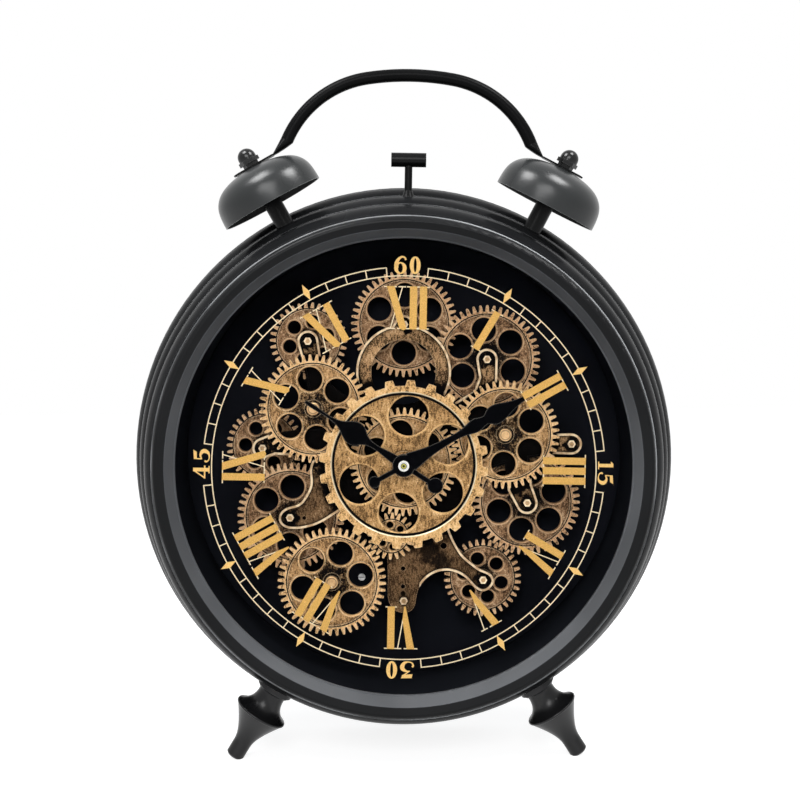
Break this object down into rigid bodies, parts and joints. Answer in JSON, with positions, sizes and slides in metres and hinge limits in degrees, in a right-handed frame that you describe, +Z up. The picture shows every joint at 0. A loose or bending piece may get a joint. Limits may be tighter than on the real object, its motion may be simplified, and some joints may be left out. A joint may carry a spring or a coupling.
{
  "type": "skeleton clock",
  "caption": "Free-standing skeleton clock in a ridged twin-bell alarm clock case, with an open turning gear train behind glass, Roman numerals on the glass and a carrying handle.",
  "frame": {"origin": "middle of the footprint, on the floor under the clock", "axes": "+X to the viewer's right, +Y backwards through the case, +Z up"},
  "size_m": [0.4319, 0.155, 0.5324],
  "materials": {
    "case_paint": "satin black paint",
    "bezel_paint": "satin black with a grey sloped band",
    "dial_paint": "matt black",
    "bell_paint": "satin charcoal",
    "handle_paint": "semi-gloss black",
    "foot_paint": "satin black",
    "dial_print": "gold print on the glass",
    "clear_glass": "clear, with print",
    "gasket_rubber": "matt",
    "gear_bronze": "antique bronze, bright",
    "wheel_bronze": "antique bronze, dark wash",
    "bridge_bronze": "antique bronze, dark wash, bright edge",
    "nut_brass": "worn brass",
    "bright_steel": "turned",
    "dark_steel": "blackened",
    "hand_paint": "satin black",
    "movement_plastic": "moulded",
    "switch_plastic": "moulded",
    "cell_jacket": "printed sleeve, plain"
  },
  "bodies": {
    "case": {"case_drum": "case_paint", "front_bezel": "bezel_paint", "front_glass": "clear_glass", "glass_gasket": "gasket_rubber", "inner_liner": "dial_paint", "dial_plate": "dial_paint", "plate_spacers": "bright_steel", "rear_screws": "bright_steel", "dial_screw": "bright_steel", "bridge_plate": "bridge_bronze", "ear_posts": "bright_steel", "ear_nuts": "nut_brass", "wheel_posts": "bright_steel", "post_caps": "nut_brass", "wheel_spacers": "dark_steel", "centre_sleeve": "nut_brass", "movement_case": "movement_plastic", "movement_cover": "movement_plastic", "drive_case": "movement_plastic", "drive_cover": "movement_plastic", "drive_motor": "bright_steel", "battery_tray": "movement_plastic", "battery_door": "movement_plastic", "battery_cells": "cell_jacket", "left_bell": "bell_paint", "right_bell": "bell_paint", "bell_stems": "handle_paint", "bell_nuts": "handle_paint", "acorn_nuts": "handle_paint", "carry_handle": "handle_paint", "hammer_rod": "handle_paint", "hammer_head": "handle_paint", "left_foot": "foot_paint", "right_foot": "foot_paint", "foot_collars": "foot_paint", "rear_leg": "case_paint"},
    "main_set": {"main_gear": "gear_bronze", "centre_wheel": "wheel_bronze", "centre_tube": "nut_brass"},
    "right_wheel_set": {"right_wheel": "wheel_bronze"},
    "left_wheel_set": {"left_wheel": "wheel_bronze"},
    "drive_set": {"drive_pinion": "wheel_bronze", "drive_shaft": "bright_steel"},
    "motor_set": {"motor_pinion": "nut_brass"},
    "lower_left_set": {"lower_left_wheel": "wheel_bronze"},
    "upper_right_set": {"upper_right_wheel": "wheel_bronze"},
    "lower_right_set": {"lower_right_wheel": "wheel_bronze"},
    "small_lower_set": {"small_lower_wheel": "wheel_bronze"},
    "low_left_set": {"low_left_wheel": "wheel_bronze"},
    "small_upper_set": {"small_upper_wheel": "wheel_bronze"},
    "top_set": {"top_wheel": "wheel_bronze"},
    "small_left_set": {"small_left_wheel": "wheel_bronze"},
    "minute_set": {"minute_arbor": "bright_steel", "minute_hand": "hand_paint", "hand_nut": "nut_brass"},
    "hour_set": {"hour_tube": "nut_brass", "hour_hand": "hand_paint"},
    "minute_wheel_set": {"minute_wheel": "movement_plastic", "set_knob": "movement_plastic"},
    "switch_set": {"switch_slider": "switch_plastic"}
  },
  "joints": [
    {"name": "main_spin", "type": "hinge", "parent": "case", "child": "main_set", "pos_m": [0, -0.0425, 0.226], "axis": [0, 1, 0], "continuous": true},
    {"name": "right_wheel_spin", "type": "hinge", "parent": "case", "child": "right_wheel_set", "pos_m": [0.079, -0.0315, 0.24643], "axis": [0, 1, 0], "continuous": true},
    {"name": "left_wheel_spin", "type": "hinge", "parent": "case", "child": "left_wheel_set", "pos_m": [-0.06983, -0.0315, 0.26821], "axis": [0, 1, 0], "continuous": true},
    {"name": "drive_spin", "type": "hinge", "parent": "case", "child": "drive_set", "pos_m": [-0.01024, -0.0125, 0.1682], "axis": [0, 1, 0], "continuous": true},
    {"name": "motor_spin", "type": "hinge", "parent": "case", "child": "motor_set", "pos_m": [0.00475, 0.0155, 0.16779], "axis": [0, 1, 0], "continuous": true},
    {"name": "lower_left_spin", "type": "hinge", "parent": "case", "child": "lower_left_set", "pos_m": [-0.05704, -0.0315, 0.13291], "axis": [0, 1, 0], "continuous": true},
    {"name": "upper_right_spin", "type": "hinge", "parent": "case", "child": "upper_right_set", "pos_m": [0.06596, -0.0175, 0.30484], "axis": [0, 1, 0], "continuous": true},
    {"name": "lower_right_spin", "type": "hinge", "parent": "case", "child": "lower_right_set", "pos_m": [0.09632, -0.0175, 0.19208], "axis": [0, 1, 0], "continuous": true},
    {"name": "small_lower_spin", "type": "hinge", "parent": "case", "child": "small_lower_set", "pos_m": [0.06121, -0.0175, 0.13187], "axis": [0, 1, 0], "continuous": true},
    {"name": "low_left_spin", "type": "hinge", "parent": "case", "child": "low_left_set", "pos_m": [-0.08951, -0.0175, 0.18241], "axis": [0, 1, 0], "continuous": true},
    {"name": "small_upper_spin", "type": "hinge", "parent": "case", "child": "small_upper_set", "pos_m": [-0.07397, -0.0175, 0.32054], "axis": [0, 1, 0], "continuous": true},
    {"name": "top_spin", "type": "hinge", "parent": "case", "child": "top_set", "pos_m": [0.00149, -0.0075, 0.3328], "axis": [0, 1, 0], "continuous": true},
    {"name": "small_left_spin", "type": "hinge", "parent": "case", "child": "small_left_set", "pos_m": [-0.11034, -0.0075, 0.23709], "axis": [0, 1, 0], "continuous": true},
    {"name": "minute_spin", "type": "hinge", "parent": "case", "child": "minute_set", "pos_m": [0, -0.0225, 0.226], "axis": [0, 1, 0], "continuous": true},
    {"name": "hour_spin", "type": "hinge", "parent": "case", "child": "hour_set", "pos_m": [0, -0.0225, 0.226], "axis": [0, 1, 0], "continuous": true},
    {"name": "minute_wheel_spin", "type": "hinge", "parent": "case", "child": "minute_wheel_set", "pos_m": [0.00032, 0.0195, 0.238], "axis": [0, 1, 0], "continuous": true},
    {"name": "switch_slide", "type": "slide", "parent": "case", "child": "switch_set", "axis": [0.9996, 0, -0.027], "range_m": [0, 0.005]}
  ],
  "couplings": [
    {"joint": "right_wheel_spin", "follows": "main_spin", "ratio": -1},
    {"joint": "left_wheel_spin", "follows": "main_spin", "ratio": -1},
    {"joint": "drive_spin", "follows": "main_spin", "ratio": -2.4},
    {"joint": "lower_left_spin", "follows": "main_spin", "ratio": 1},
    {"joint": "motor_spin", "follows": "main_spin", "ratio": 12},
    {"joint": "small_lower_spin", "follows": "lower_right_spin", "ratio": -1.4118},
    {"joint": "hour_spin", "follows": "minute_spin", "ratio": 0.083333},
    {"joint": "minute_wheel_spin", "follows": "minute_spin", "ratio": -0.33333}
  ]
}
